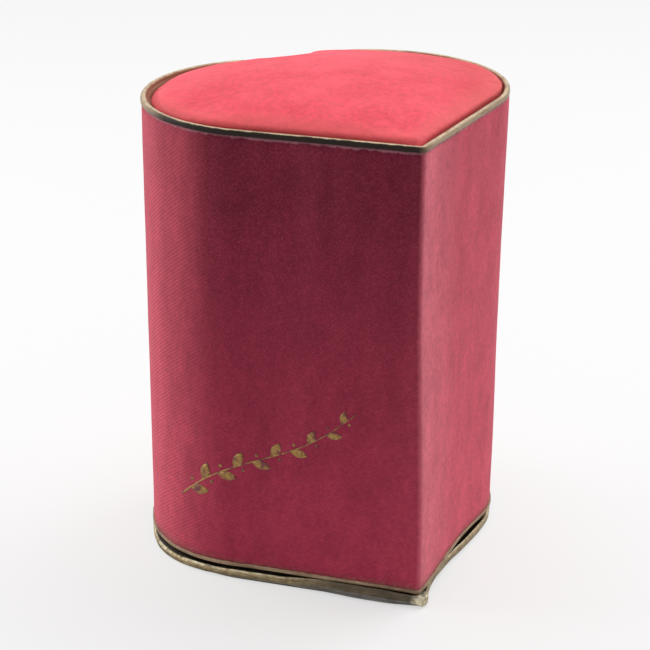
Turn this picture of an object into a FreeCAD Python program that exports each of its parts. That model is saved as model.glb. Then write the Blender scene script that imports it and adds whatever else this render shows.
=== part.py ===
import FreeCAD, Part
import math
import os

# Heart-shaped box: a cloth-covered board cover with a padded top lifts straight up off a foil-edged
# base, which carries an open cup that guides the cover and holds what is kept in the box.
# Millimetres, +Z up, the heart's tip towards -Y, the origin under the middle of the base.

# Heart outline, which is the outer face of the cover's side cloth seen from above
LOBE_SPREAD = 11.0        # each lobe's centre from the middle line
LOBE_RADIUS = 28.5
TIP_REACH = 46.0          # line of the lobe centres to the sharp point of the tip
TIP_FOLD_RADIUS = 1.2     # bend of the cloth round the tip
NOTCH_DEPTH = 6.0         # tops of the lobes down to the bottom of the notch
NOTCH_RADIUS = 3.2

# Materials by thickness
PAPER = 0.25              # lining paper
CLOTH = 0.5               # ribbed cloth round the cover
WALL = 0.8                # card of the cover's wall
SATIN = 0.4               # cloth of the padded top

# Base
BASE_CARD = 0.4           # card under the base, which rests on the table
BASE_CARD_INSET = 0.9     # base's edge to the card's edge
BASE_PLATE = 1.8          # board with its foil
BASE_FOIL = 0.5           # foil and the paper under it
BASE_OVERHANG = 0.9       # base's edge beyond the side cloth
BASE_EDGE_FLAT = 0.7      # width of the flats that break the base's edges
BASE_FOIL_MARGIN = 6.0    # foil turned under the base, measured from the side cloth

# Tip of the base: its left edge runs on past the middle line, and its right edge sweeps out to it
BASE_RUN_ON = 3.2
BASE_SWEEP = 14.0         # length of the right edge that curves
BASE_TIP_RADIUS = 1.6

# Cup
CUP_HEIGHT = 62.0
CUP_WALL = 1.2
CUP_CLEARANCE = 0.4       # cover's inside to the cup, all round
CUP_FLOOR = 1.0
CUP_FLOOR_GAP = 0.1       # floor's edge to the lining

# Cover
RIM_HEIGHT = 100.8        # top of the rim above the table
RIM_BAND = 1.8            # height of the foil binding along the rim
HEM_BAND = 1.2            # height of the foil binding along the hem
BINDING_PROUD = 0.25      # bindings beyond the wall, outside and inside
RIM_FLAT = 0.6            # width of the flats that break the rim's edges
HEM_FLAT = 0.4

# Padded top
TOP_BOARD = 2.0
PAD_CARD = 0.8
PAD_SIDE = 2.4            # upright edge of the pad
PAD_RECESS = 0.8          # rim's top down to the start of the crown
PAD_CROWN = 5.6
PAD_CREVICE = 0.25        # rim's foil to the pad

# Crown of the pad: part of a ball in straight steps, highest ahead of the lobe centres, with its edge
# drawn in all round
CROWN_CENTRE = 6.0
CROWN_STEPS = 3
DRAW_IN = 3.0             # width of the drawn-in edge
DRAW_RISE = 3.0           # its height, where the crown stands as high as that

# Limits of broken edges, and room for cutting solids
THIN_WALL_SHARE = 0.45    # most of a wall's thickness that one broken edge may take
SMALLEST_FOLD = 0.2       # no outline bends more tightly than this
CUT_ROOM = 1.0            # a cutting solid runs this far past what it cuts

# Outline values that follow from the driving ones
SHOULDER_RADIUS = (LOBE_SPREAD ** 2 + NOTCH_DEPTH ** 2) / (2 * NOTCH_DEPTH) - NOTCH_RADIUS
TIP_TO_LOBE = math.hypot(LOBE_SPREAD, TIP_REACH)
SIDE_SLOPE = math.atan2(TIP_REACH, LOBE_SPREAD) - math.asin(LOBE_RADIUS / TIP_TO_LOBE)
SIDE_NORMAL = SIDE_SLOPE - math.pi / 2
DOWN = -math.pi / 2
DEEPEST_INSET = SMALLEST_FOLD - SHOULDER_RADIUS

# Directions in plan: along each side from its lobe to the tip, and square to it outwards
LEFT_SIDE = FreeCAD.Vector(math.cos(SIDE_SLOPE), -math.sin(SIDE_SLOPE), 0)
RIGHT_SIDE = FreeCAD.Vector(-math.cos(SIDE_SLOPE), -math.sin(SIDE_SLOPE), 0)
LEFT_OUT = FreeCAD.Vector(-math.sin(SIDE_SLOPE), -math.cos(SIDE_SLOPE), 0)
RIGHT_OUT = FreeCAD.Vector(math.sin(SIDE_SLOPE), -math.cos(SIDE_SLOPE), 0)

# Base tip, measured from the line of the lobe centres
SIDES_MEET = FreeCAD.Vector(0, -TIP_REACH - BASE_OVERHANG / math.cos(SIDE_SLOPE), 0)
SWEEP_START = SIDES_MEET - RIGHT_SIDE * BASE_SWEEP
SWEEP_CHORD = SIDES_MEET + LEFT_SIDE * BASE_RUN_ON - SWEEP_START
SWEEP_RADIUS = SWEEP_CHORD.dot(SWEEP_CHORD) / (2 * SWEEP_CHORD.dot(RIGHT_OUT))
SWEEP_CENTRE = SWEEP_START + RIGHT_OUT * SWEEP_RADIUS


def base_tip(inset):
    """Where the base's left edge and its sweep meet when both are drawn in by inset."""
    line = SIDES_MEET - LEFT_OUT * inset
    along = (SWEEP_CENTRE - line).dot(LEFT_SIDE)
    across = (SWEEP_CENTRE - line).dot(LEFT_OUT)
    return line + LEFT_SIDE * (along - math.sqrt((SWEEP_RADIUS + inset) ** 2 - across ** 2))


# Place of the lobe centres that puts the middle of the base over the origin
BASE_BACK_REACH = LOBE_RADIUS + BASE_OVERHANG
BASE_FRONT_REACH = BASE_TIP_RADIUS - base_tip(BASE_TIP_RADIUS).y
LOBE_Y = (BASE_FRONT_REACH - BASE_BACK_REACH) / 2

# Offsets from the outline, inwards negative
WALL_OUTSIDE = -CLOTH
WALL_INSIDE = WALL_OUTSIDE - WALL
LINING_INSIDE = WALL_INSIDE - PAPER
BAND_INSIDE = WALL_INSIDE - BINDING_PROUD
CUP_PAPER_OUTSIDE = min(LINING_INSIDE, BAND_INSIDE) - CUP_CLEARANCE
CUP_OUTSIDE = CUP_PAPER_OUTSIDE - PAPER
CUP_INSIDE = CUP_OUTSIDE - CUP_WALL
CUP_LINING_INSIDE = CUP_INSIDE - PAPER
PAD_EDGE = BAND_INSIDE - PAD_CREVICE
CROWN_REACH = LOBE_SPREAD + LOBE_RADIUS + PAD_EDGE
CROWN_RADIUS = (CROWN_REACH ** 2 + PAD_CROWN ** 2) / (2 * PAD_CROWN)
CROWN_SPREAD = max(math.hypot(LOBE_SPREAD, CROWN_CENTRE) + LOBE_RADIUS, TIP_REACH - CROWN_CENTRE)

# Heights
BASE_TOP = BASE_CARD + BASE_PLATE
CUP_TOP = BASE_TOP + CUP_HEIGHT
HEM = BASE_TOP
WALL_LOW = HEM + HEM_BAND
WALL_HIGH = RIM_HEIGHT - RIM_BAND
PAD_SHOULDER = RIM_HEIGHT - PAD_RECESS
PAD_TOP = PAD_SHOULDER + PAD_CROWN
PAD_SEAT = PAD_SHOULDER - PAD_SIDE
TOP_BOARD_LOW = PAD_SEAT - TOP_BOARD
CEILING = TOP_BOARD_LOW - PAPER


def polar(centre, radius, angle, z):
    """The point at an angle on a circle that lies flat at height z."""
    return FreeCAD.Vector(centre[0] + radius * math.cos(angle), centre[1] + radius * math.sin(angle), z)


def arc(centre, radius, start, end, z):
    """An arc from one angle to another, as an edge."""
    points = [polar(centre, radius, angle, z) for angle in (start, (start + end) / 2, end)]
    return Part.Arc(*points).toShape()


def mirrored(edges):
    """The edges on the other side of the middle line."""
    return [edge.mirror(FreeCAD.Vector(), FreeCAD.Vector(1, 0, 0)) for edge in edges]


def side_end(offset, z):
    """Where the right side runs into its lobe."""
    return polar((LOBE_SPREAD, LOBE_Y), LOBE_RADIUS + offset, SIDE_NORMAL, z)


def lobes(offset, z):
    """Both lobes with the notch between them, from the right side's end round to the left side's."""
    lobe = (LOBE_SPREAD, LOBE_Y)
    shoulder = (LOBE_SPREAD, LOBE_Y + LOBE_RADIUS - SHOULDER_RADIUS)
    notch = (0.0, LOBE_Y + LOBE_RADIUS - NOTCH_DEPTH + NOTCH_RADIUS)
    to_notch = math.atan2(notch[1] - shoulder[1], notch[0] - shoulder[0])
    right = [
        arc(lobe, LOBE_RADIUS + offset, SIDE_NORMAL, math.pi / 2, z),
        arc(shoulder, SHOULDER_RADIUS + offset, math.pi / 2, to_notch, z),
        arc(notch, NOTCH_RADIUS - offset, to_notch - math.pi, DOWN, z),
    ]
    return right + mirrored(right)


def heart_wire(offset, z):
    """The heart outline moved outwards by offset, inwards if it is negative, as far as its lobes allow."""
    offset = max(offset, DEEPEST_INSET)
    fold_radius = max(TIP_FOLD_RADIUS + offset, SMALLEST_FOLD)
    fold = (0.0, LOBE_Y - TIP_REACH + (fold_radius - offset) / math.cos(SIDE_SLOPE))
    side_start = polar(fold, fold_radius, SIDE_NORMAL, z)
    right = [
        arc(fold, fold_radius, DOWN, SIDE_NORMAL, z),
        Part.LineSegment(side_start, side_end(offset, z)).toShape(),
    ]
    edges = right + mirrored(right) + lobes(offset, z)
    return Part.Wire(Part.sortEdges(edges)[0])


def base_wire(offset, z):
    """The base's outline, moved outwards by offset, inwards if it is negative."""
    tip_radius = max(BASE_TIP_RADIUS + offset, SMALLEST_FOLD)
    sweep_radius = SWEEP_RADIUS - offset
    tip = base_tip(tip_radius - offset) + FreeCAD.Vector(0, LOBE_Y, 0)
    sweep = SWEEP_CENTRE + FreeCAD.Vector(0, LOBE_Y, 0)
    to_sweep = math.atan2(sweep.y - tip.y, sweep.x - tip.x)
    left_normal = math.atan2(LEFT_OUT.y, LEFT_OUT.x)
    sweep_end = SIDE_NORMAL + math.pi
    out = BASE_OVERHANG + offset
    right_start = polar(sweep, sweep_radius, sweep_end, z)
    left_start = polar(tip, tip_radius, left_normal, z)
    left_end = polar((-LOBE_SPREAD, LOBE_Y), LOBE_RADIUS + out, left_normal, z)
    edges = [
        arc(tip, tip_radius, left_normal, to_sweep, z),
        arc(sweep, sweep_radius, to_sweep + math.pi, sweep_end, z),
        Part.LineSegment(right_start, side_end(out, z)).toShape(),
        Part.LineSegment(left_start, left_end).toShape(),
    ]
    return Part.Wire(Part.sortEdges(edges + lobes(out, z))[0])


def edge_points(offset, height, flat, draw, rise):
    """Offsets and heights round an edge that a flat may break, from the upright face to the level one.

    draw is -1 for an edge that draws in and 1 for the edge of a hole, which widens.
    rise is 1 for an upper edge and -1 for a lower one.
    """
    if flat == 0:
        return [(offset, height)]
    return [(offset, height - rise * flat), (offset + draw * flat, height)]


def loft(outline, points):
    """A solid through an outline at several offsets and heights, straight between them."""
    return Part.makeLoft([outline(offset, z) for offset, z in points], True, True)


def block(outline, offset, low, high, low_flat=0, high_flat=0):
    """A plate of an outline whose lower and upper edges may be broken by flats."""
    lower = edge_points(offset, low, low_flat, -1, -1)
    return loft(outline, lower[::-1] + edge_points(offset, high, high_flat, -1, 1))


def slab(offset, low, high):
    """A heart-shaped plate from one height to another."""
    return block(heart_wire, offset, low, high)


def tube(outside, inside, low, high, low_flat=0, high_flat=0):
    """A heart-shaped tube between two offsets, with its edges broken outside and inside."""
    lower = edge_points(inside, low, low_flat, 1, -1)[::-1]
    upper = edge_points(inside, high, high_flat, 1, 1)
    below = (lower[0][0], low - CUT_ROOM)
    above = (upper[-1][0], high + CUT_ROOM)
    hole = loft(heart_wire, [below] + lower + upper + [above])
    return block(heart_wire, outside, low, high, low_flat, high_flat).cut(hole)


def base_board():
    return block(base_wire, -BASE_FOIL, BASE_CARD + BASE_FOIL, BASE_TOP - BASE_FOIL)


def base_foil():
    """Foil wrapped round the base's edge, in under the cup on top and in a margin underneath."""
    middle = BASE_CARD + BASE_PLATE / 2
    flat = min(BASE_EDGE_FLAT, THIN_WALL_SHARE * BASE_PLATE)
    wrap = block(base_wire, 0, BASE_CARD, BASE_TOP, flat, flat).cut(base_board())
    wrap = wrap.cut(slab(CUP_LINING_INSIDE, middle, BASE_TOP + CUT_ROOM))
    return wrap.cut(slab(-BASE_FOIL_MARGIN, BASE_CARD - CUT_ROOM, middle))


def base_underside_card():
    return slab(BASE_OVERHANG - BASE_CARD_INSET, 0, BASE_CARD)


def cup_board():
    return tube(CUP_OUTSIDE, CUP_INSIDE, BASE_TOP, CUP_TOP)


def cup_outer_paper():
    return tube(CUP_PAPER_OUTSIDE, CUP_OUTSIDE, BASE_TOP, CUP_TOP)


def cup_lining():
    return tube(CUP_INSIDE, CUP_LINING_INSIDE, BASE_TOP, CUP_TOP)


def cup_floor_card():
    """Floor of the cup, on the base's board inside the edge of the foil."""
    low = BASE_TOP - BASE_FOIL
    return slab(CUP_LINING_INSIDE - CUP_FLOOR_GAP, low, low + CUP_FLOOR)


def wall_board():
    return tube(WALL_OUTSIDE, WALL_INSIDE, WALL_LOW, WALL_HIGH)


def side_cloth():
    return tube(0, WALL_OUTSIDE, WALL_LOW, WALL_HIGH)


def binding_flat(flat):
    """A broken edge of a binding, limited by the binding's thickness."""
    return min(flat, THIN_WALL_SHARE * (BINDING_PROUD - BAND_INSIDE))


def rim_foil():
    """Foil binding along the wall's upper edge, with its edges broken."""
    return tube(BINDING_PROUD, BAND_INSIDE, WALL_HIGH, RIM_HEIGHT, 0, binding_flat(RIM_FLAT))


def hem_foil():
    """Foil binding along the wall's lower edge, on which the cover stands."""
    return tube(BINDING_PROUD, BAND_INSIDE, HEM, WALL_LOW, binding_flat(HEM_FLAT), 0)


def wall_lining():
    return tube(WALL_INSIDE, LINING_INSIDE, WALL_LOW, CEILING)


def top_board():
    return slab(WALL_INSIDE, TOP_BOARD_LOW, PAD_SEAT)


def ceiling_paper():
    return slab(WALL_INSIDE, CEILING, TOP_BOARD_LOW)


def crown(inset, low):
    """The top of the pad as a turned form: straight steps on the arc of a ball, solid down to low."""
    radius = CROWN_RADIUS - inset
    centre = PAD_TOP - CROWN_RADIUS
    span = math.asin(CROWN_SPREAD / CROWN_RADIUS)
    angles = [span * step / CROWN_STEPS for step in range(CROWN_STEPS + 1)]
    points = [FreeCAD.Vector(radius * math.sin(a), 0, centre + radius * math.cos(a)) for a in angles]
    points += [FreeCAD.Vector(points[-1].x, 0, low), FreeCAD.Vector(0, 0, low)]
    face = Part.Face(Part.makePolygon(points + points[:1]))
    turned = face.revolve(FreeCAD.Vector(), FreeCAD.Vector(0, 0, 1), 360)
    turned.translate(FreeCAD.Vector(0, LOBE_Y - CROWN_CENTRE, 0))
    return turned


def cushion(inset, low):
    """The pad, drawn in by inset all round and on top: an upright edge, then drawn in to the crown."""
    offset = PAD_EDGE - inset
    sides = loft(heart_wire, [
        (offset, low),
        (offset, PAD_SHOULDER),
        (offset - DRAW_IN, PAD_SHOULDER + DRAW_RISE),
        (offset - DRAW_IN, PAD_TOP + CUT_ROOM),
    ])
    return sides.common(crown(inset, low - CUT_ROOM))


def pad_card():
    return slab(PAD_EDGE - SATIN, PAD_SEAT, PAD_SEAT + PAD_CARD)


def pad_wadding():
    return cushion(SATIN, PAD_SEAT + PAD_CARD)


def pad_cloth():
    """Satin over the wadding and down the edges of the wadding and its card."""
    return cushion(0, PAD_SEAT).cut(cushion(SATIN, PAD_SEAT - CUT_ROOM))


PIECES = (
    base_board,
    base_foil,
    base_underside_card,
    cup_board,
    cup_outer_paper,
    cup_lining,
    cup_floor_card,
    wall_board,
    side_cloth,
    wall_lining,
    rim_foil,
    hem_foil,
    top_board,
    ceiling_paper,
    pad_card,
    pad_wadding,
    pad_cloth,
)


def main():
    os.makedirs("parts", exist_ok=True)
    for piece in PIECES:
        name, shape = piece.__name__, piece()
        print(f"{name}: {len(shape.Solids)} solid, valid {shape.isValid()}, {shape.Volume:.1f} mm3")
        shape.exportStep(f"parts/{name}.step")


main()
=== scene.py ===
# %% [markdown]
# # A heart-shaped bobbin box
#
# The box is a board cover under ribbed cloth, with a padded satin top inside a gold rim. The cover lifts
# off a base with a gold edge and a paper-covered cup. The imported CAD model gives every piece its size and
# place. This script adds what CAD leaves plain: the cloth, the pad, the foil and all the finishes.

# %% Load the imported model
import bmesh
import bpy
import math
from mathutils import Matrix, Vector, noise


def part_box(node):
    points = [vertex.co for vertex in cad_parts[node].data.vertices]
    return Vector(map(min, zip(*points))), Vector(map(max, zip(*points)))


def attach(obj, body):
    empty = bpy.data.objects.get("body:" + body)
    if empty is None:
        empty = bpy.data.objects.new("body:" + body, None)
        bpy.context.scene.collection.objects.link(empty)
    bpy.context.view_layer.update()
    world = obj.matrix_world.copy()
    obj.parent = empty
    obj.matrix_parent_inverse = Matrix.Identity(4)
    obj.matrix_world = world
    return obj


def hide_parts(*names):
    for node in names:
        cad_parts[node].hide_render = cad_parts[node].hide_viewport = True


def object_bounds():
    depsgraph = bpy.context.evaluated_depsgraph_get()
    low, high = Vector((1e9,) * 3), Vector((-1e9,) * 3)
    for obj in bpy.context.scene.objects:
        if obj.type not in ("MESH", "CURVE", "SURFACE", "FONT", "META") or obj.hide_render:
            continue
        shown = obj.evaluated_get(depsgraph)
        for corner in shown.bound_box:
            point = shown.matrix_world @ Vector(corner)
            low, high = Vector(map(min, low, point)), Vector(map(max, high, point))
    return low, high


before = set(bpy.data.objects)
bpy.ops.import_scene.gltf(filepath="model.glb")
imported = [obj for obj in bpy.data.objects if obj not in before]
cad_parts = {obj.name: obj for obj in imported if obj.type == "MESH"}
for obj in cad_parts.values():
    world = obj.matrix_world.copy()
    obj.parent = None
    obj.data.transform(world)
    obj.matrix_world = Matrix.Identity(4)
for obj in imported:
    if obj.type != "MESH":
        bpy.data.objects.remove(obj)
cad_low, cad_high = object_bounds()
MM = 0.001
print("CAD nodes:", len(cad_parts), "box in mm:", [round(x / MM, 1) for x in cad_high - cad_low])

# %% [markdown]
# ## Camera
#
# The camera comes first, so that every later choice is judged in the picture. It could be aimed by hand,
# but the rim and the base give enough points to work out its place: it stands to the left of the tip,
# looks down on the box, and is far away with a long lens, which keeps the upright edges nearly parallel.

# %% Camera
cover_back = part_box("side_cloth")[1].y
rim_low, rim_high = (corner.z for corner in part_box("rim_foil"))
CAMERA_PLACE = Vector((-147.5 * MM, cover_back - 361.8 * MM, rim_high + 100.2 * MM))
CAMERA_TURN = math.radians(23.89)     # to the right of straight ahead
CAMERA_DIP = math.radians(23.0)
CAMERA_ROLL = math.radians(0.5)
LENS_MM = 98.4


def placed(name, data):
    """A new object in the scene."""
    made = bpy.data.objects.new(name, data)
    bpy.context.scene.collection.objects.link(made)
    return made


ahead = Vector((
    math.sin(CAMERA_TURN) * math.cos(CAMERA_DIP),
    math.cos(CAMERA_TURN) * math.cos(CAMERA_DIP),
    -math.sin(CAMERA_DIP),
))
right = Vector((math.cos(CAMERA_TURN), -math.sin(CAMERA_TURN), 0))
upwards = right.cross(ahead)
turned = Matrix((right, upwards, -ahead)).transposed() @ Matrix.Rotation(CAMERA_ROLL, 3, "Z")
camera = placed("camera", bpy.data.cameras.new("camera"))
camera.data.lens = LENS_MM
camera.data.sensor_width = 36
camera.matrix_world = Matrix.Translation(CAMERA_PLACE) @ turned.to_4x4()
bpy.context.scene.camera = camera
bpy.context.scene.view_settings.view_transform = "Standard"
print("camera looks along", [round(x, 3) for x in ahead])

# %% [markdown]
# ## Floor and light
#
# The box stands on a plain pale table in a bright room. A wide soft lamp above and to the right lights
# the top and the right side, a weaker one behind on the left lights the left lobe, and the pale floor
# throws light back onto the left side, more near its foot.
# The world and the floor are whiter where the camera or a shiny surface looks at them than as a light.
# Just before the tip the floor has a painted shadow: it is made less white there.

# %% Helpers for shader nodes
def put(socket, value):
    """Sets a node's input to a plain value, or links another node's output to it."""
    if isinstance(value, bpy.types.NodeSocket):
        socket.id_data.links.new(value, socket)
    elif socket.type == "RGBA":
        socket.default_value = (*value[:3], 1)
    else:
        socket.default_value = value


def add(tree, kind, inputs=None, **settings):
    """Adds a shader node. An input is a plain value or another node's output."""
    made = tree.nodes.new("ShaderNode" + kind)
    for name, value in settings.items():
        setattr(made, name, value)
    for name, value in (inputs or {}).items():
        put(made.inputs[name], value)
    return made


def math_node(tree, operation, first, second=0.0, third=0.0, clamp=False):
    """One step of arithmetic, as an output socket."""
    return add(tree, "Math", {0: first, 1: second, 2: third}, operation=operation, use_clamp=clamp).outputs[0]


def material(name):
    """A new material with its tree, its surface shader and its object coordinates."""
    made = bpy.data.materials.new(name)
    made.use_nodes = True
    tree = made.node_tree
    return made, tree, tree.nodes["Principled BSDF"], add(tree, "TexCoord").outputs["Object"]


def set_surface(surface, **values):
    """Sets or links inputs of a surface shader. Underscores in the names stand for spaces."""
    for name, value in values.items():
        put(surface.inputs[name.replace("_", " ")], value)


def looked_at(tree):
    """1 where the camera, a shiny surface or a clear one looks, and 0 where light is only passed on."""
    rays = add(tree, "LightPath").outputs
    seen = math_node(tree, "MAXIMUM", rays["Is Camera Ray"], rays["Is Glossy Ray"])
    return math_node(tree, "MAXIMUM", seen, rays["Is Transmission Ray"])


# %% World, lamps and floor
WORLD_LIGHT = 0.35
LAMPS = {                 # place, size and watts
    "key lamp": (Vector((0.42, 0.02, 0.62)), 0.5, 2.5),
    "left lamp": (Vector((-0.46, 0.39, 0.25)), 0.4, 1.6),
    "top lamp": (Vector((-0.1, 0.1, 0.9)), 0.9, 1.7),
}
FLOOR_SIZE = 6.0
FLOOR_COLOUR = (0.93, 0.93, 0.93)
FLOOR_WHITE = 0.74
# painted shadow: the floor's white share is lowered just before the tip, so the floor is darker there
FLOOR_SHADOW_DEPTH = 0.22          # the floor is less white just before the tip
FLOOR_SHADOW_PLACE = (-0.02, -0.07, 0)
FLOOR_SHADOW_REACH = 0.13

world = bpy.data.worlds.new("room")
bpy.context.scene.world = world
world.use_nodes = True
tree = world.node_tree
tree.nodes.clear()
room = add(tree, "Background", {"Color": (1, 1, 1, 1), "Strength": WORLD_LIGHT})
white = add(tree, "Background", {"Color": (1, 1, 1, 1), "Strength": 1.0})
mixed = add(tree, "MixShader", {0: looked_at(tree), 1: room.outputs[0], 2: white.outputs[0]})
add(tree, "OutputWorld", {"Surface": mixed.outputs[0]})

for name, (place, size, watts) in LAMPS.items():
    lamp = placed(name, bpy.data.lights.new(name, "AREA"))
    lamp.data.size, lamp.data.energy = size, watts
    lamp.location = place
    lamp.rotation_mode = "QUATERNION"     # each lamp points at the middle of the box
    lamp.rotation_quaternion = ((cad_low + cad_high) / 2 - place).to_track_quat("-Z", "Y")

floor_mesh = bpy.data.meshes.new("floor")
bm = bmesh.new()
bmesh.ops.create_grid(bm, x_segments=1, y_segments=1, size=FLOOR_SIZE / 2)
bm.to_mesh(floor_mesh)
bm.free()
floor = placed("floor", floor_mesh)
paint, tree, surface, spot = material("pale table")
set_surface(surface, Base_Color=FLOOR_COLOUR, Roughness=0.7, Specular_IOR_Level=0.2)
bright = add(tree, "Emission", {"Color": (1, 1, 1, 1), "Strength": 1.0})
from_front = add(tree, "VectorMath", {0: spot, 1: FLOOR_SHADOW_PLACE}, operation="DISTANCE")
# painted shadow on the floor, deepest just before the tip
painted_floor_shadow = add(tree, "MapRange", {
    "Value": from_front.outputs["Value"], "From Min": 0.0, "From Max": FLOOR_SHADOW_REACH,
    "To Min": FLOOR_WHITE - FLOOR_SHADOW_DEPTH, "To Max": FLOOR_WHITE,
}, interpolation_type="SMOOTHSTEP")
share = math_node(tree, "MULTIPLY", looked_at(tree), painted_floor_shadow.outputs["Result"])
mixed = add(tree, "MixShader", {0: share, 1: surface.outputs[0], 2: bright.outputs[0]})
put(tree.nodes["Material Output"].inputs["Surface"], mixed.outputs[0])
floor_mesh.materials.append(paint)
print("floor and three lamps ready")

# %% [markdown]
# ## The heart outline
#
# Every piece follows the same heart: two round lobes with a notch between them, and straight sides that
# meet at the tip. A vertex is spun about the centre of each arc and extruded along the straight side, and
# the half outline is mirrored. Moving all the radii by the same offset gives parallel outlines, so cloth
# and bindings lie evenly on the wall. The sizes are those of the CAD model.

# %% Heart outline
LOBE_SPREAD = 11.0 * MM
LOBE_RADIUS = 28.5 * MM
TIP_REACH = 46.0 * MM
TIP_FOLD = 1.2 * MM
NOTCH_DEPTH = 6.0 * MM
NOTCH_RADIUS = 3.2 * MM
SMALLEST_FOLD = 0.2 * MM
WELD = 0.001 * MM
SIDE_CUTS, LOBE_STEPS, SHOULDER_STEPS, NOTCH_STEPS, FOLD_STEPS = 24, 44, 10, 8, 4

SHOULDER_RADIUS = (LOBE_SPREAD ** 2 + NOTCH_DEPTH ** 2) / (2 * NOTCH_DEPTH) - NOTCH_RADIUS
SLOPE = math.atan2(TIP_REACH, LOBE_SPREAD) - math.asin(LOBE_RADIUS / math.hypot(LOBE_SPREAD, TIP_REACH))
SIDE_NORMAL = SLOPE - math.pi / 2
LOBE_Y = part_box("side_cloth")[1].y - LOBE_RADIUS
NOTCH_SWEEP = math.atan2(LOBE_SPREAD, SHOULDER_RADIUS + NOTCH_RADIUS - NOTCH_DEPTH)


def spun(bm, start, centre, angle, steps):
    """Spins a vertex about a centre in plan and gives the last vertex of the arc."""
    made = bmesh.ops.spin(
        bm, geom=[start], cent=(*centre, start.co.z), axis=(0, 0, 1), angle=angle, steps=steps)
    return made["geom_last"][0]


def drawn(bm, start, end, cuts):
    """Extrudes a vertex along a straight line, divides the line and gives its last vertex."""
    line = bmesh.ops.extrude_vert_indiv(bm, verts=[start])
    line["verts"][0].co = end
    bmesh.ops.subdivide_edges(bm, edges=line["edges"], cuts=cuts)
    return min(bm.verts, key=lambda v: (v.co - end).length)


def lobe_and_notch(bm, start):
    """From the end of the right side round its lobe, over the shoulder and into the notch."""
    last = spun(bm, start, (LOBE_SPREAD, LOBE_Y), math.pi / 2 - SIDE_NORMAL, LOBE_STEPS)
    last = spun(bm, last, (LOBE_SPREAD, LOBE_Y + LOBE_RADIUS - SHOULDER_RADIUS), NOTCH_SWEEP, SHOULDER_STEPS)
    last = spun(bm, last, (0, LOBE_Y + LOBE_RADIUS - NOTCH_DEPTH + NOTCH_RADIUS), -NOTCH_SWEEP, NOTCH_STEPS)
    last.co.x = 0
    return last


def side_end(offset, z):
    """Where the right side runs into its lobe."""
    reach = LOBE_RADIUS + offset
    return Vector((LOBE_SPREAD + reach * math.cos(SIDE_NORMAL), LOBE_Y + reach * math.sin(SIDE_NORMAL), z))


def chain_from(last):
    """The vertices of an open line in order, from its first vertex to the given last one."""
    chain, links = [last], last.link_edges[:]
    while links:
        chain.append(links[0].other_vert(chain[-1]))
        links = [e for e in chain[-1].link_edges if e != links[0]]
    return chain[::-1]


def mirrored(bm, half):
    """Mirrors a line that ends on the middle, and welds the two halves there."""
    edges = list({e for v in half for e in v.link_edges if e.other_vert(v) in half})
    bmesh.ops.mirror(bm, geom=half + edges, matrix=Matrix(), merge_dist=WELD, axis="X")


def half_heart(bm, offset, z):
    """The right half of the heart outline in order, from the tip to the notch."""
    fold = max(TIP_FOLD + offset, SMALLEST_FOLD)
    fold_y = LOBE_Y - TIP_REACH + (fold - offset) / math.cos(SLOPE)
    last = bm.verts.new((0, fold_y - fold, z))
    last = spun(bm, last, (0, fold_y), SLOPE, FOLD_STEPS)
    last = drawn(bm, last, side_end(offset, z), SIDE_CUTS)
    return chain_from(lobe_and_notch(bm, last))


def heart_ring(bm, offset, z):
    """The whole heart outline, as edges."""
    earlier = set(bm.edges)
    mirrored(bm, half_heart(bm, offset, z))
    return [e for e in bm.edges if e not in earlier]


bm = bmesh.new()
ring = heart_ring(bm, 0, 0)
HEART_LENGTH = sum(e.calc_length() for e in ring)
print("heart outline:", len(bm.verts), "vertices, length in mm:", round(HEART_LENGTH / MM, 1))
bm.free()

# %% [markdown]
# ## How the wall really stands
#
# The wall isn't a perfect prism: its tip runs on along the left side towards the foot, both sides stand
# out a little there, the right lobe leans out towards the top, the hem bows up from the base, and pasted
# cloth waves slightly. One function moves any point of the wall in this way, so that the cloth, the hem
# and the gold sprig stay together. Where a height changes along the box, a short table gives its steps.

# %% Places on the wall
TIP_Y = LOBE_Y - TIP_REACH
TIP_RUN_ON = 1.7 * MM     # how far the tip's foot runs on along the left side
LEFT_FLARE = 0.65 * MM
RIGHT_FLARE = 0.7 * MM
RIGHT_LEAN = 0.4 * MM
CLOTH_RIPPLES = (0.10, 22, 3.1), (0.05, 9, 7.7)
HEM_LEFT = 0.1, [(1.15, 5, -16), (-0.55, -20, -37)]
HEM_RIGHT = 0.35, [(-0.35, -12, -3)]
HEM_RIGHT_SWELL = 1.05, -23, 15
to_tip_left = Vector((math.cos(SLOPE), -math.sin(SLOPE), 0))
to_tip_right = Vector((-math.cos(SLOPE), -math.sin(SLOPE), 0))
out_left = Vector((-math.sin(SLOPE), -math.cos(SLOPE), 0))
out_right = Vector((math.sin(SLOPE), -math.cos(SLOPE), 0))


def wave(point, length, seed):
    """Smooth noise between about -1 and 1 whose bumps are about as long as length."""
    return noise.noise(point / length + Vector((seed, seed * 0.7, seed * 1.3)))


def smooth_step(x, start, end):
    """0 before start, 1 after end, and an even passage between them."""
    t = min(max((x - start) / (end - start), 0), 1)
    return t * t * (3 - 2 * t)


def stepped(y, first, steps):
    """A height that starts at first. A step is a change and the places between which it happens, in mm."""
    return first + sum(change * smooth_step(y, start * MM, end * MM) for change, start, end in steps)


def swelled(y, high, middle, width):
    """A height at the middle that falls evenly to 0 at width on both sides, all in mm."""
    return high * (1 - smooth_step(abs(y - middle * MM), 0, width * MM))


def rippled(co, *ripples):
    """Smooth bumps and hollows. A ripple is a height and a length in mm and a seed."""
    return MM * sum(high * wave(co, length * MM, seed) for high, length, seed in ripples)


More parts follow.
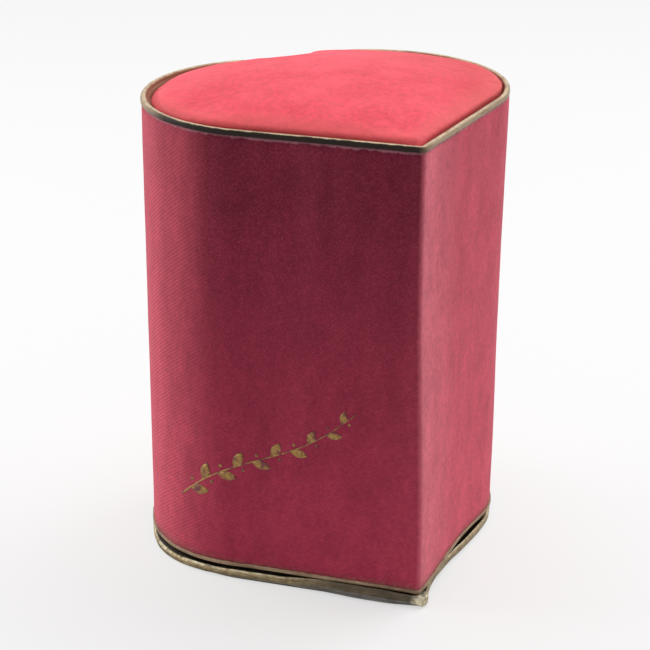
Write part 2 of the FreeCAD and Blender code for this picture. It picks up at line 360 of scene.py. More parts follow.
def outward(co):
    """Which way is out of the heart at a point near its wall, in plan."""
    flat = Vector((co.x, co.y, 0))
    fold = Vector((0, TIP_Y + TIP_FOLD / math.cos(SLOPE), 0))
    if flat.y < fold.y and abs(flat.x) < TIP_FOLD:
        return (flat - fold).normalized()
    if flat.y < LOBE_Y + LOBE_RADIUS * math.sin(SIDE_NORMAL):
        return out_right if flat.x >= 0 else out_left
    notch = Vector((0, LOBE_Y + LOBE_RADIUS - NOTCH_DEPTH + NOTCH_RADIUS, 0))
    if (flat - notch).length < NOTCH_RADIUS + 3 * MM and flat.y < notch.y + 1 * MM:
        return (notch - flat).normalized()
    return (flat - Vector((math.copysign(LOBE_SPREAD, flat.x), LOBE_Y, 0))).normalized()


def beyond(co):
    """How far a point lies outside the heart outline of the cover."""
    lobe = Vector((math.copysign(LOBE_SPREAD, co.x), LOBE_Y, co.z))
    if co.y > LOBE_Y + LOBE_RADIUS * math.sin(SIDE_NORMAL):
        return (co - lobe).length - LOBE_RADIUS
    return (co - Vector((0, TIP_Y, co.z))).dot(out_right if co.x > 0 else out_left)


def from_left(co, left, right):
    """The left value on the left of the tip, the right value on its right, and a passage between them."""
    share = smooth_step(co.x, -1 * MM, 3 * MM)
    return left * (1 - share) + right * share


def hem_bow(co):
    """How far the hem stands above the base: most along the left side and halfway along the right."""
    left = stepped(co.y, *HEM_LEFT)
    right = stepped(co.y, *HEM_RIGHT) + swelled(co.y, *HEM_RIGHT_SWELL)
    return MM * from_left(co, left, right) * (1 - smooth_step(co.y, 12 * MM, 30 * MM))


def leaning(co):
    """How far the right lobe leans out towards the top."""
    return Vector((RIGHT_LEAN * smooth_step(co.z, 40 * MM, 95 * MM) * smooth_step(co.x, 0, 30 * MM), 0, 0))


def standing(co):
    """How far the wall stands away from a perfect prism at a point."""
    lift = Vector((0, 0, hem_bow(co) * (1 - smooth_step(co.z, 4 * MM, 30 * MM))))
    foot = smooth_step(co.z, 85 * MM, 3 * MM)
    run_on = to_tip_left * TIP_RUN_ON * smooth_step(co.y, TIP_Y + 26 * MM, TIP_Y + 1 * MM)
    left = LEFT_FLARE * smooth_step(-co.x, 4 * MM, 18 * MM) * (1 - smooth_step(co.y, 8 * MM, 22 * MM))
    right = swelled(co.y, RIGHT_FLARE, -10, 12) * smooth_step(co.x, 10 * MM, 20 * MM)
    return foot * (run_on + outward(co) * (left + right)) + lift + leaning(co)


def pasted(co):
    """How far pasted cloth waves outwards at a point."""
    return outward(co) * rippled(co, *CLOTH_RIPPLES)


print("the tip's foot runs on by mm:", round(TIP_RUN_ON / MM, 2))

# %% Helpers that turn a bmesh into a piece
def piece_from(bm, name, body, slot, material, *replaced):
    """Makes an object of a bmesh, shades it smooth and lets it ride on a body of the box."""
    bmesh.ops.recalc_face_normals(bm, faces=bm.faces[:])
    mesh = bpy.data.meshes.new(name)
    bm.to_mesh(mesh)
    bm.free()
    mesh.shade_smooth()
    mesh.materials.append(material)
    made = placed(name, mesh)
    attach(made, body)
    if replaced:
        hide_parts(*replaced)
    return made


def skin(bm, outline, profile):
    """Joins parallel outlines, given as offsets and heights round a section, into one closed skin.

    Each vertex keeps how far round the section it lies, from 0 to 1.
    """
    layer = bm.verts.layers.float.new("round")
    rings = []
    for index, (offset, z) in enumerate(profile):
        rings.append(outline(bm, offset, z))
        for vertex in {v for e in rings[-1] for v in e.verts}:
            vertex[layer] = index / (len(profile) - 1)
    for ring, following in zip(rings, rings[1:] + rings[:1]):
        bmesh.ops.bridge_loops(bm, edges=ring + following)
    bmesh.ops.remove_doubles(bm, verts=bm.verts[:], dist=WELD)


def rounded_section(outside, inside, low, high, rise, steps, up=True):
    """A strip's section whose upper edge, or lower edge, is half an ellipse."""
    middle, half = (outside + inside) / 2, (outside - inside) / 2
    shoulder = high - rise if up else low + rise
    turn = [math.pi * step / steps for step in range(steps + 1)]
    arc = [(middle + half * math.cos(a), shoulder + (rise if up else -rise) * math.sin(a)) for a in turn]
    level = low if up else high
    return [(outside, level)] + arc + [(inside, level)]


# %% [markdown]
# ## Finishes
#
# Each finish is built from noise and waves on the object's own coordinates, so it needs no pictures and
# stays in place when the piece moves. The helpers below give cloudy noise, stretched values, blended
# colours and bumps, all in metres. Each adds its nodes to the tree that its first value belongs to.

# %% Helpers for materials
def cloudy(coords, scale, detail=4.0, rough=0.55, stretch=(1, 1, 1)):
    """Noise with a scale in cells per metre, as a value."""
    tree = coords.id_data
    mapped = add(tree, "Mapping", {"Vector": coords, "Scale": stretch})
    inputs = {"Vector": mapped.outputs[0], "Scale": scale, "Detail": detail, "Roughness": rough}
    return add(tree, "TexNoise", inputs).outputs["Fac"]


def between(value, low, high):
    """Stretches a value so that low becomes 0 and high becomes 1, and goes no further."""
    inputs = {"Value": value, "From Min": low, "From Max": high}
    return add(value.id_data, "MapRange", inputs).outputs["Result"]


def times(first, second):
    """Two values multiplied."""
    return math_node(first.id_data, "MULTIPLY", first, second)


def scaled(value, factor, more):
    """A value times a factor, and then more added."""
    return math_node(value.id_data, "MULTIPLY_ADD", value, factor, more)


def blended(share, first, second):
    """A colour between two colours."""
    return add(share.id_data, "Mix", {0: share, 6: first, 7: second}, data_type="RGBA").outputs[2]


def layered(colour, layers):
    """A colour with others laid over it in turn. A layer is a colour, where it lies and how strongly."""
    for upper, where, strength in layers:
        colour = blended(times(where, strength), colour, upper)
    return colour


def mottled(colour, noise_value, amount):
    """The colour made lighter and darker by noise, by about amount times a half each way."""
    value = scaled(noise_value, 2 * amount, 1 - amount)
    return add(colour.id_data, "HueSaturation", {"Color": colour, "Value": value}).outputs["Color"]


def bumped(height, distance, strength=1.0, normal=None):
    """A bump whose height of 1 stands for distance in metres."""
    inputs = {"Height": height, "Distance": distance, "Strength": strength}
    if normal is not None:
        inputs["Normal"] = normal
    return add(height.id_data, "Bump", inputs).outputs[0]


# %% [markdown]
# ## Ribbed cloth
#
# The cloth is a fine slanted rib with a soft sheen. Its deep red is painted lighter towards the foot, as
# painted light thrown up by the pale floor, and it is painted a paler dusty pink on the right side and round
# the left lobe, as painted light and sheen from the lamps. Rubbing has paled it along the tip's edge, a paler
# ragged line just below the rim is a painted highlight on the cloth's turned top edge, and lint and fuzz lie
# on it. The distance along the outline, which the mesh stores on each vertex, says where each of these
# belongs.

# %% Ribbed cloth
RIB_PITCH = 0.69 * MM
RIB_SLANT = math.radians(36)
RIM_LAP, HEM_LAP = 0.7 * MM, 0.30 * MM    # cloth that runs on under the bindings
# the deep red at the top and the crimson at the foot differ by painted light thrown up by the floor
DEEP_RED, CRIMSON = (0.162, 0.009, 0.027), (0.425, 0.036, 0.080)
# painted light and sheen: these pinks stand for the lamps' light and sheen on the right side and the left
# lobe
DUSTY_PINK, ROSE = (0.635, 0.092, 0.134), (0.760, 0.114, 0.164)
RIB_SHADOW, BAND_ROSE, FUZZ_PINK = (0.15, 0.010, 0.028), (0.60, 0.10, 0.15), (0.62, 0.11, 0.17)
# the second colour here is a painted highlight on the cloth's turned top edge below the rim
RUBBED_TIP, TOP_EDGE_HIGHLIGHT, LINT_PINK = (0.78, 0.20, 0.25), (0.58, 0.24, 0.29), (0.66, 0.32, 0.36)
HEM_STAIN = (0.34, 0.17, 0.11)

ribbed_cloth, tree, surface, coords = material("ribbed cloth")
along = add(tree, "Attribute", attribute_name="along").outputs["Fac"]
height = add(tree, "SeparateXYZ", {0: coords}).outputs["Z"]
hem_low, hem_high = (corner.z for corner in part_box("hem_foil"))
cloth_low, cloth_high = hem_high - HEM_LAP, rim_low + RIM_LAP

up_part, along_part = times(height, math.cos(RIB_SLANT)), times(along, math.sin(RIB_SLANT))
across_rib = math_node(tree, "SUBTRACT", up_part, along_part)
rib_wave = math_node(tree, "SINE", times(across_rib, 2 * math.pi / RIB_PITCH))
ribs = scaled(rib_wave, 0.5, 0.5)
fuzz = cloudy(coords, 2600, 3)
threads = cloudy(coords, 700, 3, stretch=(1, 1, 0.25))
bands = cloudy(coords, 90, 4, stretch=(1, 1, 0.12))
lint = between(cloudy(coords, 420, 6, 0.7), 0.68, 0.80)
grain = cloudy(coords, 1000, 6, 0.75)
patches = cloudy(coords, 220, 5, 0.65, stretch=(1, 1, 0.5))

wandering = scaled(math_node(tree, "SUBTRACT", bands, 0.5), 22 * MM, along)
left_lobe = between(wandering, -43 * MM, -60 * MM)
right_side = between(along, -0.5 * MM, 2.6 * MM)
# painted light and sheen: the right side and the left lobe are made paler pink
painted_lit_sides = math_node(tree, "MAXIMUM", left_lobe, right_side)
# painted light from the floor: the reds and pinks are lighter towards the foot
lower = between(height, 88 * MM, 12 * MM)
red_with_floor_light, painted_lit_pink = blended(lower, DEEP_RED, CRIMSON), blended(lower, DUSTY_PINK, ROSE)
rib_depth = scaled(times(left_lobe, patches), 0.30, 0.08)
grooves = times(math_node(tree, "SUBTRACT", 1.0, ribs), rib_depth)
tip_edge = times(between(along, -0.6 * MM, 1.4 * MM), between(along, 20 * MM, 0.0))
ragged = scaled(threads, 1.2 * MM, height)
# painted highlight: a paler ragged line just below the rim, on the cloth's turned top edge
below_rim = between(ragged, cloth_high - 0.05 * MM, cloth_high + 0.30 * MM)
low_strip = between(height, cloth_low + 2.4 * MM, cloth_low + 0.9 * MM)
above_hem = times(low_strip, between(grain, 0.40, 0.60))
colour = layered(blended(painted_lit_sides, red_with_floor_light, painted_lit_pink), [
    (BAND_ROSE, between(bands, 0.40, 0.80), 0.16),
    (RIB_SHADOW, grooves, 1.0),
    (FUZZ_PINK, between(fuzz, 0.45, 0.85), 0.3),
    (RUBBED_TIP, tip_edge, 0.8),
    (TOP_EDGE_HIGHLIGHT, below_rim, 0.75),
    (HEM_STAIN, above_hem, 0.6),
    (LINT_PINK, lint, 0.15),
])
colour = mottled(mottled(colour, grain, 0.45), patches, 0.35)
relief = bumped(ribs, 0.05 * MM, 0.7)
relief = bumped(threads, 0.05 * MM, 0.5, relief)
relief = bumped(fuzz, 0.05 * MM, 0.6, relief)
set_surface(surface, Base_Color=colour, Roughness=0.75, Specular_IOR_Level=0.15, Sheen_Weight=0.12,
            Sheen_Roughness=0.4, Sheen_Tint=(1.0, 0.5, 0.58), Normal=relief)
print("ribbed cloth: rib pitch in mm", RIB_PITCH / MM)

# %% [markdown]
# ## Satin
#
# The satin of the pad is a strong coral, a little mottled where hands have touched it and deeper towards
# its right end. It is browner in the crevice along the rim, partly dust and partly painted shade of the
# crevice.

# %% Satin
CORAL, LIGHT_CORAL, RIGHT_CORAL = (0.88, 0.058, 0.092), (0.95, 0.098, 0.142), (0.72, 0.052, 0.066)
WORN_CORAL, THREAD_CORAL, HANDLED_CORAL = (0.97, 0.15, 0.19), (0.97, 0.14, 0.18), (0.90, 0.165, 0.155)
# partly dust and partly painted shade in the crevice along the rim
DUST_AND_CREVICE_SHADE = (0.34, 0.048, 0.028)

satin, tree, surface, coords = material("satin")
inset = add(tree, "Attribute", attribute_name="inset").outputs["Fac"]
right_end = between(add(tree, "SeparateXYZ", {0: coords}).outputs["X"], 12 * MM, 34 * MM)
mottle = cloudy(coords, 75, 6, 0.65)
weave = cloudy(coords, 2200, 3, stretch=(1, 0.35, 1))
wear = between(cloudy(coords, 190, 5, 0.7), 0.50, 0.75)
grain = cloudy(coords, 800, 6, 0.75)
colour = layered(blended(between(mottle, 0.32, 0.7), CORAL, LIGHT_CORAL), [
    (WORN_CORAL, wear, 0.3),
    (THREAD_CORAL, between(weave, 0.35, 0.8), 0.3),
    (RIGHT_CORAL, right_end, 0.7),
])
colour = mottled(mottled(colour, grain, 0.42), mottle, 0.20)
ragged = scaled(wear, 0.6 * MM, inset)
colour = layered(colour, [
    (HANDLED_CORAL, between(ragged, 6.0 * MM, 1.4 * MM), 0.5),
    # partly dust and partly painted shade: the satin darker in the crevice by the rim
    (DUST_AND_CREVICE_SHADE, between(ragged, 1.35 * MM, 0.95 * MM), 0.75),
])
relief = bumped(weave, 0.04 * MM, 0.5)
relief = bumped(mottle, 0.25 * MM, 0.5, relief)
set_surface(surface, Base_Color=colour, Roughness=0.6, Specular_IOR_Level=0.25, Sheen_Weight=0.08,
            Sheen_Roughness=0.45, Sheen_Tint=(1.0, 0.5, 0.55), Normal=relief)
print("satin ready")

# %% [markdown]
# ## Gold foil
#
# The bindings are thin gold paper. It has tarnished brown in patches, with dark specks and fine creases.
# The rim's outer face is painted darker as painted shade, almost black on the left side as painted shade and
# a dark reflection, and its inner face is painted reddish brown as a painted reflection of the pad. The base
# has a painted highlight along its upper edge, painted shade on the lower half of its edge and on its top
# where the top shows under the hem, is greyer towards the tip on the left, and is pale at the very tip, where
# the foil was drawn together. One function makes the common gold, and each binding adds its own wear and
# painted light.

# %% Gold foil
def foil(name, bright, brown, dark, tarnish_low, tarnish_high):
    """Gold paper that has gone brown in patches, with dark specks and fine creases, and its colour."""
    made, tree, surface, coords = material(name)
    tarnish = between(cloudy(coords, 260, 6, 0.65), tarnish_low, tarnish_high)
    specks = between(cloudy(coords, 1500, 4, 0.6), 0.58, 0.70)
    creases = cloudy(coords, 900, 5, 0.7, stretch=(1, 1, 0.4))
    streaks = between(cloudy(coords, 180, 6, 0.7, stretch=(1, 1, 7)), 0.48, 0.66)
    colour = blended(tarnish, bright, brown)
    colour = layered(colour, [(dark, streaks, 0.65), (dark, specks, 0.7)])
    rough = scaled(tarnish, 0.2, 0.42)
    set_surface(surface, Metallic=0.45, Specular_IOR_Level=0.15, Roughness=rough,
                Normal=bumped(creases, 0.12 * MM, 0.7))
    return made, tree, surface, coords, colour


# %% Gold of the rim and the hem
RIM_BRIGHT, RIM_BROWN, RIM_DARK = (0.68, 0.55, 0.37), (0.50, 0.36, 0.23), (0.24, 0.14, 0.08)
# painted shade and reflection: the outer face's shade, its darker left front, and the inner face's reflection
RIM_OUTER_SHADE, RIM_OUTER_LEFT_SHADE, RIM_INNER_REFLECTION = (0.20, 0.115, 0.07), (0.009, 0.004, 0.003), (0.27, 0.085, 0.048)
HEM_BRIGHT, HEM_BROWN, HEM_DARK = (0.48, 0.34, 0.22), (0.31, 0.20, 0.125), (0.13, 0.075, 0.045)

rim_gold, tree, surface, coords, colour = foil("rim gold", RIM_BRIGHT, RIM_BROWN, RIM_DARK, 0.40, 0.75)
place = add(tree, "SeparateXYZ", {0: coords}).outputs
way_round = add(tree, "Attribute", attribute_name="round").outputs["Fac"]
frayed = math_node(tree, "SUBTRACT", cloudy(coords, 600, 4), 0.5)
ragged = scaled(frayed, 0.25, way_round)
outer_face = between(ragged, 0.37, 0.28)
inner_face = between(ragged, 0.575, 0.685)
left, front = between(place["X"], 2.5 * MM, -1.0 * MM), between(place["Y"], 12 * MM, 2 * MM)
shaded = times(left, front)
# painted shade: the outer face is darkened all round, most on the left front, as shade and a dark reflection
painted_outer_shade = times(outer_face, scaled(shaded, 0.48, 0.50))
colour = blended(painted_outer_shade, colour, blended(shaded, RIM_OUTER_SHADE, RIM_OUTER_LEFT_SHADE))
# painted reflection: the inner face is made reddish brown, like the pad it reflects
colour = layered(colour, [(RIM_INNER_REFLECTION, inner_face, 0.85)])
# less metallic where the painted shade and the painted reflection lie
painted_shade_and_reflection = math_node(tree, "MAXIMUM", painted_outer_shade, inner_face)
set_surface(surface, Base_Color=colour, Metallic=scaled(painted_shade_and_reflection, -0.45, 0.45))

hem_gold, tree, surface, coords, colour = foil("hem gold", HEM_BRIGHT, HEM_BROWN, HEM_DARK, 0.35, 0.7)
set_surface(surface, Base_Color=colour, Metallic=0.1)
print("gold of the rim and the hem ready")

# %% Gold of the base
BASE_BRIGHT, BASE_BROWN, BASE_DARK = (0.46, 0.36, 0.20), (0.25, 0.18, 0.095), (0.07, 0.048, 0.026)
BASE_PAINTED_HIGHLIGHT, BASE_FOOT_SHADE, BASE_TOP_SHADE = (0.86, 0.77, 0.54), (0.10, 0.078, 0.042), (0.014, 0.010, 0.006)
FRONT_DARK, GREY_LAYER, TIP_PALE = (0.075, 0.060, 0.043), (0.17, 0.165, 0.155), (0.64, 0.57, 0.41)
TIP_MIDDLE = (2.2 * MM, TIP_Y - 3.2 * MM, 1.5 * MM)

base_gold, tree, surface, coords, colour = foil("base gold", BASE_BRIGHT, BASE_BROWN, BASE_DARK, 0.33, 0.68)
place = add(tree, "SeparateXYZ", {0: coords}).outputs
level = add(tree, "Attribute", attribute_name="level").outputs["Fac"]
glints = between(cloudy(coords, 420, 5, 0.7), 0.40, 0.58)
# painted highlight: a bright band along the upper edge, on the left lobe and on the right side
left_highlight_side, right_highlight_side = between(place["X"], -14 * MM, -24 * MM), between(place["X"], 3 * MM, 7 * MM)
highlight_sides = math_node(tree, "MAXIMUM", left_highlight_side, times(right_highlight_side, 0.7))
mark_share = times(between(level, 0.62, 0.86), highlight_sides)
before_tip = between(place["X"], 2 * MM, 0.5 * MM)
left_front = times(between(place["X"], -21 * MM, -13 * MM), before_tip)
# where the hem closes on the base, there is less of the painted shade on its top
closed = math_node(tree, "MAXIMUM", left_front, between(place["X"], 29 * MM, 33 * MM))
open_top = scaled(closed, -0.85, 1.0)
to_tip = add(tree, "VectorMath", {0: coords, 1: TIP_MIDDLE}, operation="DISTANCE").outputs["Value"]
folds = between(cloudy(coords, 700, 5, 0.6), 0.60, 0.46)
fold_share = scaled(folds, 0.6, 0.35)
gathered = times(between(to_tip, 3.8 * MM, 2.2 * MM), fold_share)
colour = layered(colour, [
    # painted highlight along the upper edge of the base
    (BASE_PAINTED_HIGHLIGHT, times(mark_share, glints), 0.8),
    # painted shade: the lower half of the edge, which faces down, is darker
    (BASE_FOOT_SHADE, between(level, 0.50, 0.15), 0.6),
    (FRONT_DARK, left_front, 0.88),
    (GREY_LAYER, times(left_front, between(level, 0.42, 0.32)), 0.85),
    # painted shade: the top of the base, which shows only in the gap under the hem, is near black
    (BASE_TOP_SHADE, times(between(level, 0.96, 0.99), open_top), 1.0),
    (TIP_PALE, gathered, 1.0),
])
colour = mottled(colour, cloudy(coords, 500, 6, 0.75), 0.7)
colour = mottled(colour, cloudy(coords, 160, 6, 0.8, stretch=(1, 1, 8)), 1.2)
set_surface(surface, Base_Color=colour)
print("gold of the base ready")

# %% [markdown]
# ## Cloth round the cover
#
# The cloth is one strip, wrapped round the card and joined in the notch at the back. A plain prism would
# be too even: here the outline is extruded upwards, divided into rows, and moved as the wall really
# stands. Each vertex keeps its distance along the outline, which the rib of the weave follows round the
# corners. The strip is opened at the seam, so that the rib ends there.

# %% Side cloth
CLOTH_ROWS = 46
CLOTH_THICKNESS = 0.4 * MM
cloth_tall = cloth_high - cloth_low

bm = bmesh.new()
along_layer = bm.verts.layers.float.new("along")
half = half_heart(bm, 0, cloth_low)
distance = 0
for before, vertex in zip(half, half[1:]):
    distance += (vertex.co - before.co).length
    vertex[along_layer] = distance
mirrored(bm, half)
raised = bmesh.ops.extrude_edge_only(bm, edges=bm.edges[:])["geom"]
upper = [v for v in raised if isinstance(v, bmesh.types.BMVert)]
bmesh.ops.translate(bm, verts=upper, vec=(0, 0, cloth_tall))
uprights = [e for e in bm.edges if abs(e.verts[0].co.z - e.verts[1].co.z) > cloth_tall / 2]
bmesh.ops.subdivide_edges(bm, edges=uprights, cuts=CLOTH_ROWS, use_grid_fill=True)
bmesh.ops.remove_doubles(bm, verts=bm.verts[:], dist=WELD)
seam = [e for e in bm.edges if all(abs(v.co.x) < WELD and v.co.y > 0 for v in e.verts)]
bmesh.ops.split_edges(bm, edges=seam)
for vertex in bm.verts:
    if sum(f.calc_center_median().x for f in vertex.link_faces) < 0 and vertex[along_layer] > WELD:
        vertex[along_layer] *= -1
for vertex in bm.verts:
    vertex.co += standing(vertex.co) + pasted(vertex.co)
cloth = piece_from(bm, "ribbed_cover_cloth", "cover", "ribbed_cloth", ribbed_cloth, "side_cloth")
thick = cloth.modifiers.new("thickness", "SOLIDIFY")
thick.thickness = CLOTH_THICKNESS
thick.offset = -1
flat_size = [round(side / MM, 1) for side in (HEART_LENGTH, cloth_tall)]
print("cloth:", len(cloth.data.vertices), "vertices, flat in mm:", flat_size)

# %% [markdown]
# ## Bindings along the rim and the hem
#
# A gold binding closes each edge of the cover. Its section is drawn as offsets and heights, an outline is
# spun for each of them, and neighbouring outlines are bridged. The binding then gets what hands give it:
# an edge that wanders and small dents. The cloth runs on a little under both bindings, and the rim's
# binding is pasted down inside, under the edge of the pad.

# %% Rim binding
RIM_OUT, RIM_IN = 0.15 * MM, -1.14 * MM
RIM_RISE = 0.6 * MM
RIM_FLAP = -2.4 * MM      # the binding is pasted down as far as this inside
RIM_DENTS, RIM_EDGE, RIM_FRAY = ((0.05, 7, 5.2), (0.025, 2.4, 9.4)), (0.05, 16, 2.6), (0.10, 4, 6.8)

bm = bmesh.new()
rim_section = rounded_section(RIM_OUT, RIM_IN, cloth_high, rim_high, RIM_RISE, 10)
skin(bm, heart_ring, rim_section + [(RIM_FLAP, cloth_high - 0.1 * MM)])
for vertex in bm.verts:
    co = vertex.co.copy()
    vertex.co += leaning(co) + outward(co) * rippled(co, *RIM_DENTS) + Vector((0, 0, rippled(co, RIM_EDGE)))
    vertex.co.z += (1 - smooth_step(co.z, cloth_high, cloth_high + 0.4 * MM)) * rippled(co, RIM_FRAY)
rim = piece_from(bm, "rim_binding", "cover", "gold_foil", rim_gold, "rim_foil")
print("rim binding:", len(rim.data.polygons), "faces")

# %% Hem binding
HEM_OUT, HEM_IN = 0.25 * MM, -1.55 * MM
HEM_RISE = 0.22 * MM
HEM_DENTS, HEM_FRAY = ((0.04, 6, 1.9), (0.03, 2.2, 4.1)), (0.16, 2, 8.3)

bm = bmesh.new()
skin(bm, heart_ring, rounded_section(HEM_OUT, HEM_IN, hem_low, cloth_low, HEM_RISE, 8, up=False))
for vertex in bm.verts:
    co = vertex.co.copy()
    vertex.co += standing(co) + outward(co) * rippled(co, *HEM_DENTS)
    vertex.co.z += smooth_step(co.z, hem_low + 0.3 * MM, cloth_low) * rippled(co, HEM_FRAY)
hem = piece_from(bm, "hem_binding", "cover", "gold_foil", hem_gold, "hem_foil")
print("hem binding:", len(hem.data.polygons), "faces")

# %% [markdown]
# ## Gold edge of the base
#
# The base is a board whose edge is wrapped in foil. Its outline is the heart again, a little larger, but
# its left edge runs on past the middle and its right edge sweeps out to meet it, where the foil is drawn
# together in pleats. The outline is spun and extruded in one round, because its two sides differ. The
# board has warped a little: its edge sags under the left lobe and rises halfway along both sides, and it
# stands out in some places and has been pushed in at others. Each vertex keeps its level between the
# bottom and the top, because the foil's painted highlight, its painted shade and its grey under layer
# follow the level.

# %% Base outline
BASE_OUT = 0.9 * MM
BASE_RUN_ON = 3.2 * MM
BASE_SWEEP = 14.0 * MM
BASE_TIP = 1.6 * MM
TIP_STEPS, SWEEP_STEPS = 12, 18

sides_meet = Vector((0, TIP_Y - BASE_OUT / math.cos(SLOPE), 0))
sweep_start = sides_meet - to_tip_right * BASE_SWEEP
sweep_chord = sides_meet + to_tip_left * BASE_RUN_ON - sweep_start
sweep_radius = sweep_chord.length_squared / (2 * sweep_chord.dot(out_right))
sweep_centre = sweep_start + out_right * sweep_radius


def base_tip(inset):
    """Where the left edge and the sweep meet when both are drawn in by inset."""
    line = sides_meet - out_left * inset
    run, side = (sweep_centre - line).dot(to_tip_left), (sweep_centre - line).dot(out_left)
    return line + to_tip_left * (run - math.sqrt((sweep_radius + inset) ** 2 - side ** 2))


def base_ring(bm, offset, z):
    """The base's outline, moved out by offset, as edges."""
    fold = max(BASE_TIP + offset, SMALLEST_FOLD)
    tip = base_tip(fold - offset)
    to_sweep = math.atan2(sweep_centre.y - tip.y, sweep_centre.x - tip.x)
    left_normal = math.atan2(out_left.y, out_left.x)
    earlier = set(bm.edges)
    last = bm.verts.new((tip.x + fold * math.cos(left_normal), tip.y + fold * math.sin(left_normal), z))
    last = spun(bm, last, tip.xy, to_sweep - left_normal, TIP_STEPS)
    last = spun(bm, last, sweep_centre.xy, SIDE_NORMAL - to_sweep, SWEEP_STEPS)
    last = drawn(bm, last, side_end(BASE_OUT + offset, z), SIDE_CUTS)
    chain = chain_from(lobe_and_notch(bm, last))
    mirrored(bm, chain[TIP_STEPS + SWEEP_STEPS + SIDE_CUTS + 1:])
    ends = {v for e in bm.edges if e not in earlier for v in e.verts if len(v.link_edges) == 1}
    closing = bmesh.ops.contextual_create(bm, geom=list(ends))["edges"]
    bmesh.ops.subdivide_edges(bm, edges=closing, cuts=SIDE_CUTS)
    return [e for e in bm.edges if e not in earlier]


print("the base's right edge sweeps out with a radius in mm of", round(sweep_radius / MM, 1))

# %% Base section
base_low, base_high = (corner.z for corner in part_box("base_foil"))
BASE_ROUND = 0.6 * MM
BASE_FLAP = -4.5 * MM
FOIL_THICK = 0.3 * MM
BASE_EDGE_STEPS = 6

quarter = [math.pi / 2 * step / BASE_EDGE_STEPS for step in range(BASE_EDGE_STEPS + 1)]
upper = [(BASE_ROUND * (math.sin(a) - 1), base_high + BASE_ROUND * (math.cos(a) - 1)) for a in quarter]
lower = [(BASE_ROUND * (math.cos(a) - 1), base_low + BASE_ROUND * (1 - math.sin(a))) for a in quarter]
section = [(BASE_FLAP, base_high - FOIL_THICK), (BASE_FLAP, base_high)] + upper
section += lower + [(BASE_FLAP, base_low), (BASE_FLAP, base_low + FOIL_THICK)]
tip_point = base_tip(0)
print("base section:", len(section), "points, tip in mm:", [round(x / MM, 1) for x in tip_point.xy])

# %% Warp of the base
# A step is a change and its two places, and a swell is a height, its middle and its width, all in mm.
LIP_LEFT = -0.75, [(1.25, 6, -18), (1.05, -18, -25), (-0.40, -30, -38)]
FOOT_LEFT = -0.4, [(0.85, 2, -21), (-0.55, -23, -35)]
LIP_RIGHT = 0.35, [(0.25, -17, -8)]
HUMP_RIGHT = 1, -22, 15
HUMP_FOOT, HUMP_LIP = 0.3, 0.35
LEFT_OUT, LEFT_IN = (0.9, 3, 15), (0.5, 18, 12)
RIGHT_OUT, RIGHT_IN = (0.8, -17, 11), (1.1, 3, 16)
TIP_OUT = 0.9, -31, 11


def warped(co, level):
    """How far the base's edge has risen or sunk at a point, given its level from the bottom to the top."""
    low_left = stepped(co.y, *FOOT_LEFT)
    left = low_left + (stepped(co.y, *LIP_LEFT) - low_left) * level
    hump = swelled(co.y, *HUMP_RIGHT)
    right = HUMP_FOOT * hump + (stepped(co.y, *LIP_RIGHT) + HUMP_LIP * hump) * level
    outside = smooth_step(beyond(co), 0.1 * MM, 0.8 * MM)
    return MM * from_left(co, left, right) * outside * (1 - smooth_step(co.y, 14 * MM, 30 * MM))


def bulged(co, level):
    """How far the base's edge stands out or has been pushed in at a point."""
    left_lobe = (swelled(co.y, *LEFT_OUT) - swelled(co.y, *LEFT_IN)) * smooth_step(-co.x, 24 * MM, 31 * MM)
    right_lobe = (swelled(co.y, *RIGHT_OUT) - swelled(co.y, *RIGHT_IN)) * smooth_step(co.x, 10 * MM, 20 * MM)
    by_tip = swelled(co.y, *TIP_OUT) * (1 - level) * smooth_step(-co.x, -1 * MM, 4 * MM)
    return MM * (left_lobe + right_lobe + by_tip)


print("the base's upper edge rises at the tip by mm:", round(warped(tip_point, 1) / MM, 2))

# %% Base binding
BASE_DENTS = (0.08, 9, 2.2), (0.07, 3, 5.5)
BASE_WAVE, LIP_WAVE, TIP_WAVE = (0.05, 10, 7.1), (0.16, 3.5, 1.7), (0.35, 1.6, 3.3)
PLEAT, PLEAT_LENGTH = 0.25 * MM, 0.3 * MM
TIP_AWAY = Vector((0.2, -0.98, 0))
pleats_across = to_tip_left + to_tip_right * 0.4

bm = bmesh.new()
skin(bm, base_ring, section)
level_layer = bm.verts.layers.float.new("level")
for vertex in bm.verts:
    co = vertex.co.copy()
    level = (co.z - base_low) / (base_high - base_low)
    vertex[level_layer] = level
    dent = rippled(co, *BASE_DENTS) + bulged(co, level)
    near = 1 - smooth_step((co.xy - tip_point.xy).length, 1.5 * MM, 5 * MM)
    pleat = near * PLEAT * math.sin((co - tip_point).dot(pleats_across) / PLEAT_LENGTH)
    away = outward(co).lerp(TIP_AWAY, near)
    vertex.co += away * (dent + pleat) + Vector((0, 0, warped(co, level)))
    if co.z > base_low + 0.4 * MM:
        vertex.co.z += rippled(co, BASE_WAVE) + near * rippled(co, TIP_WAVE) + level * rippled(co, LIP_WAVE)
edge = piece_from(bm, "base_binding", "base", "gold_foil", base_gold, "base_foil")
print("base binding:", len(edge.data.polygons), "faces")

# %% [markdown]
# ## Padded top
#
# Satin is stretched over wadding, so the pad swells evenly and is drawn in where it meets the rim. It
# starts as a copy of the CAD's pad, which gives its height and its edge. The copy is remeshed into even
# cells, smoothed, and blown up by a cloth simulation with its edge held. The simulation runs on a larger
# copy, because cloth settings suit pieces of about half a metre. Each vertex may move only a little.
# After that the flanks are raised and widened towards the rim, less so at the back on the left.

# %% Pad before the simulation
VOXEL = 0.8 * MM
SMOOTHING_ROUNDS = 6
PAD_RECESS = 0.8 * MM
pad_shoulder = rim_high - PAD_RECESS
pad_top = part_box("pad_cloth")[1].z


